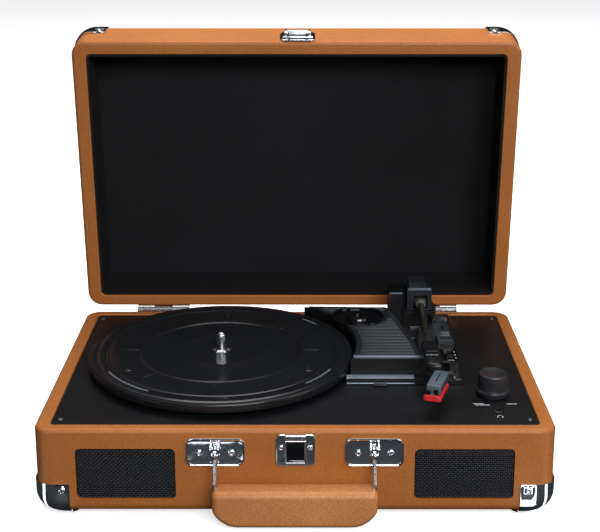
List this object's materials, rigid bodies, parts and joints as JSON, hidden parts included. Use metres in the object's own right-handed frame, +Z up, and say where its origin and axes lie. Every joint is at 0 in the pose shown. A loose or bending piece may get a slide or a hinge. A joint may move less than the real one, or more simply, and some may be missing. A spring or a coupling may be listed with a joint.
{
  "type": "suitcase record player",
  "caption": "Portable record player in a hinged leatherette case, with a belt-driven platter, a tonearm, front speakers, a latch and a swinging carry handle.",
  "frame": {"origin": "centre of the flat pad at the middle of the base's underside, level with the case's lowest edge; the feet stand 4 mm below it", "axes": "+X along the case's width to the user's right, +Y to the back where the hinges are, +Z up out of the deck"},
  "size_m": [0.3588, 0.3023, 0.3071],
  "materials": {
    "leatherette": "fine pebbled tan leatherette over a board case",
    "grip_leatherette": "soft pebbled tan cover",
    "deck_texture": "black leather-textured deck sheet",
    "liner": "matt black textured lining",
    "black_plastic": "satin moulded black",
    "mechanism_grey": "satin moulded dark grey",
    "ribbed_grey": "ribbed blue-grey moulding",
    "gloss_black": "glossy black moulding",
    "chrome": "bright chromed pressed steel",
    "steel": "plain bright steel",
    "knob_metal": "dark spun aluminium",
    "brass": "turned brass",
    "rubber": "matt black rubber",
    "grille_mesh": "black woven grille cloth",
    "speaker_paper": "black pressed cone and frame",
    "cartridge_grey": "pale blue-grey moulding",
    "stylus_red": "translucent red moulding",
    "board_green": "green circuit board"
  },
  "bodies": {
    "base": {"base_shell": "leatherette", "base_bottom_panel": "deck_texture", "deck_panel": "deck_texture", "speaker_grille_left": "grille_mesh", "speaker_grille_right": "grille_mesh", "speaker_left": "speaker_paper", "speaker_right": "speaker_paper", "base_corner_front_left": "chrome", "base_corner_front_right": "chrome", "base_corner_back_left": "chrome", "base_corner_back_right": "chrome", "foot_front_left": "rubber", "foot_front_right": "rubber", "foot_back_left": "rubber", "foot_back_right": "rubber", "base_hinge_leaf_left": "steel", "base_hinge_leaf_right": "steel", "latch_keeper": "chrome", "handle_bracket_left": "chrome", "handle_bracket_right": "chrome", "platter_bearing_bush": "brass", "drive_belt": "rubber", "drive_motor": "steel", "mechanism_plinth": "black_plastic", "mechanism_housing": "mechanism_grey", "ribbed_cover_plate": "ribbed_grey", "tonearm_base": "mechanism_grey", "arm_rest": "mechanism_grey", "speed_switch_housing": "gloss_black", "volume_potentiometer": "steel", "headphone_jack": "gloss_black", "circuit_board": "board_green", "rear_socket_panel": "black_plastic"},
    "lid": {"lid_shell": "leatherette", "lid_liner": "liner", "lid_hinge_leaf_left": "steel", "lid_hinge_leaf_right": "steel", "lid_corner_front_left": "chrome", "lid_corner_front_right": "chrome", "lid_corner_back_left": "chrome", "lid_corner_back_right": "chrome", "lid_latch_plate": "chrome"},
    "hasp": {"latch_hasp": "chrome"},
    "handle": {"handle_bail": "steel", "handle_grip": "grip_leatherette"},
    "platter": {"platter": "black_plastic", "spindle": "steel"},
    "pulley": {"motor_pulley": "brass"},
    "adapter": {"record_adapter": "black_plastic"},
    "arm_turret": {"tonearm_turret": "mechanism_grey"},
    "tonearm": {"tonearm_tube": "black_plastic", "headshell": "black_plastic", "cartridge": "cartridge_grey", "stylus": "stylus_red"},
    "rest_clip": {"arm_rest_clip": "black_plastic"},
    "cue_lever": {"cue_lever": "black_plastic"},
    "lift_bar": {"cue_lift_bar": "steel"},
    "speed_selector": {"speed_selector": "gloss_black"},
    "auto_stop_switch": {"auto_stop_switch": "gloss_black"},
    "volume_knob": {"volume_knob": "knob_metal"}
  },
  "joints": [
    {"name": "lid_hinge", "type": "hinge", "parent": "base", "child": "lid", "pos_m": [0, 0.119, 0.0622], "axis": [1, 0, 0], "range_deg": [0, 83]},
    {"name": "latch_hasp_swing", "type": "hinge", "parent": "lid", "child": "hasp", "pos_m": [0.0008, 0.10501, 0.30087], "axis": [-1, 0, 0], "range_deg": [0, 100]},
    {"name": "handle_swing", "type": "hinge", "parent": "base", "child": "handle", "pos_m": [0, -0.1216, 0.046], "axis": [1, 0, 0], "range_deg": [-140, 0]},
    {"name": "platter_spin", "type": "hinge", "parent": "base", "child": "platter", "pos_m": [-0.057, 0.0032, 0.072], "axis": [0, 0, -1], "continuous": true},
    {"name": "motor_pulley_spin", "type": "hinge", "parent": "base", "child": "pulley", "pos_m": [0.01055, 0.0422, 0.065], "axis": [0, 0, -1], "continuous": true},
    {"name": "adapter_lift", "type": "slide", "parent": "base", "child": "adapter", "axis": [0, 0, -1], "range_m": [-0.015, 0]},
    {"name": "tonearm_swing", "type": "hinge", "parent": "base", "child": "arm_turret", "pos_m": [0.1, 0.084, 0.08], "axis": [0, 0, -1], "range_deg": [0, 48]},
    {"name": "tonearm_lift", "type": "hinge", "parent": "arm_turret", "child": "tonearm", "pos_m": [0.1, 0.082, 0.0835], "axis": [1, 0, 0], "range_deg": [-15, 0]},
    {"name": "arm_rest_clip_swing", "type": "hinge", "parent": "base", "child": "rest_clip", "pos_m": [0.1072, 0.027, 0.0875], "axis": [0, -1, 0], "range_deg": [0, 90]},
    {"name": "cue_lever_swing", "type": "hinge", "parent": "base", "child": "cue_lever", "pos_m": [0.1165, 0.062, 0.074], "axis": [-1, 0, 0], "range_deg": [0, 55]},
    {"name": "cue_lift_bar_slide", "type": "slide", "parent": "base", "child": "lift_bar", "axis": [0, 0, 1], "range_m": [0, 0.0035]},
    {"name": "speed_selector_slide", "type": "slide", "parent": "base", "child": "speed_selector", "axis": [0, 1, 0], "range_m": [0, 0.016]},
    {"name": "auto_stop_slide", "type": "slide", "parent": "base", "child": "auto_stop_switch", "axis": [1, 0, 0], "range_m": [0, 0.005]},
    {"name": "volume_knob_turn", "type": "hinge", "parent": "base", "child": "volume_knob", "pos_m": [0.142, -0.055, 0.07], "axis": [0, 0, -1], "range_deg": [0, 300]}
  ],
  "couplings": [
    {"joint": "motor_pulley_spin", "follows": "platter_spin", "ratio": 8.75},
    {"joint": "cue_lift_bar_slide", "follows": "cue_lever_swing", "m_per_rad": 0.0036}
  ]
}
